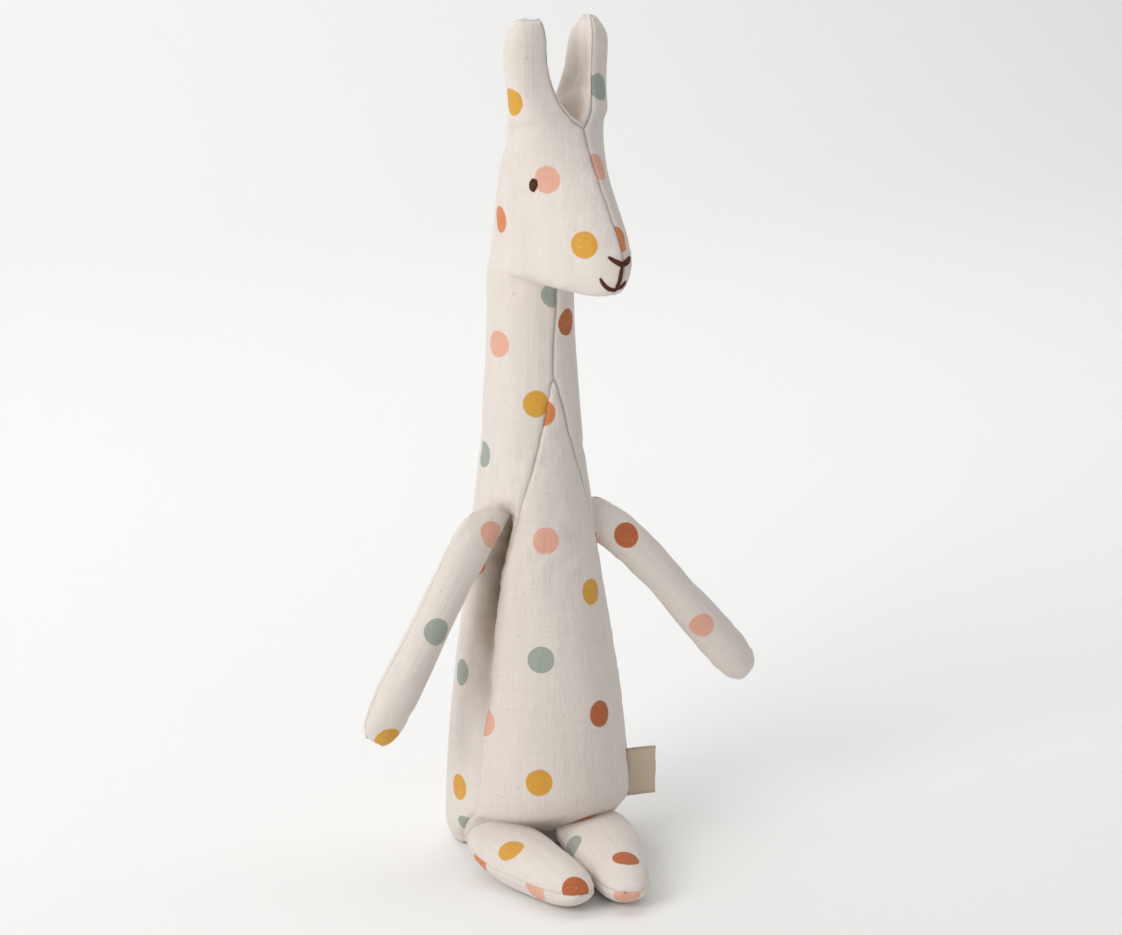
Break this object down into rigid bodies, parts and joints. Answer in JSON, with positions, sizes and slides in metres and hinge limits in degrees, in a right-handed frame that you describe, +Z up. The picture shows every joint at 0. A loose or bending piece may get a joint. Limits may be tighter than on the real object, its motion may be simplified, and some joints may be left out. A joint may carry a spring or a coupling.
{
  "type": "stuffed giraffe toy",
  "caption": "Stuffed cloth giraffe toy that sits on a flat seat with its legs forward; its arms and legs swing at their sewn roots and a bare ribbon label stands out of a side seam.",
  "frame": {"origin": "on the floor under the flat seat panel, on the middle plane of the seat", "axes": "+Z up along the neck, the seat and legs face -Y, the toy's own right is -X"},
  "size_m": [0.135, 0.0966, 0.2532],
  "materials": {
    "muslin": "natural cotton muslin with printed polka dots",
    "fibre_filling": "loose fibre",
    "embroidery_thread": "dark brown cotton thread",
    "label_ribbon": "bare woven ribbon"
  },
  "bodies": {
    "trunk": {"right_side_panel": "muslin", "left_side_panel": "muslin", "belly_panel": "muslin", "crown_gusset": "muslin", "seat_panel": "muslin", "body_filling": "fibre_filling", "head_filling": "fibre_filling", "right_ear_filling": "fibre_filling", "left_ear_filling": "fibre_filling", "right_eye": "embroidery_thread", "left_eye": "embroidery_thread", "nose_stitch": "embroidery_thread", "lip_stitch": "embroidery_thread", "mouth_stitch": "embroidery_thread"},
    "right_arm": {"right_arm_front": "muslin", "right_arm_back": "muslin", "right_arm_filling": "fibre_filling"},
    "left_arm": {"left_arm_front": "muslin", "left_arm_back": "muslin", "left_arm_filling": "fibre_filling"},
    "right_leg": {"right_leg_top": "muslin", "right_leg_sole": "muslin", "right_leg_filling": "fibre_filling"},
    "left_leg": {"left_leg_top": "muslin", "left_leg_sole": "muslin", "left_leg_filling": "fibre_filling"},
    "label": {"side_label": "label_ribbon"}
  },
  "joints": [
    {"name": "right_shoulder", "type": "hinge", "parent": "trunk", "child": "right_arm", "pos_m": [-0.02123, -0.00656, 0.104], "axis": [-0.132, 0.9913, 0], "range_deg": [-20, 120], "stiffness_Nm_per_rad": 0.02},
    {"name": "left_shoulder", "type": "hinge", "parent": "trunk", "child": "left_arm", "pos_m": [0.02425, -0.00106, 0.1], "axis": [0.1279, -0.9918, 0], "range_deg": [-25, 120], "stiffness_Nm_per_rad": 0.02},
    {"name": "right_hip", "type": "hinge", "parent": "trunk", "child": "right_leg", "pos_m": [-0.02, -0.01908, 0.007], "axis": [-1, 0, 0], "range_deg": [-75, 20], "stiffness_Nm_per_rad": 0.02},
    {"name": "left_hip", "type": "hinge", "parent": "trunk", "child": "left_leg", "pos_m": [0.00975, -0.02225, 0.007], "axis": [-1, 0, 0], "range_deg": [-75, 20], "stiffness_Nm_per_rad": 0.02},
    {"name": "label_fold", "type": "hinge", "parent": "trunk", "child": "label", "pos_m": [0.02606, -0.01299, 0.023], "axis": [0, 0, 1], "range_deg": [-60, 60], "stiffness_Nm_per_rad": 0.001}
  ]
}
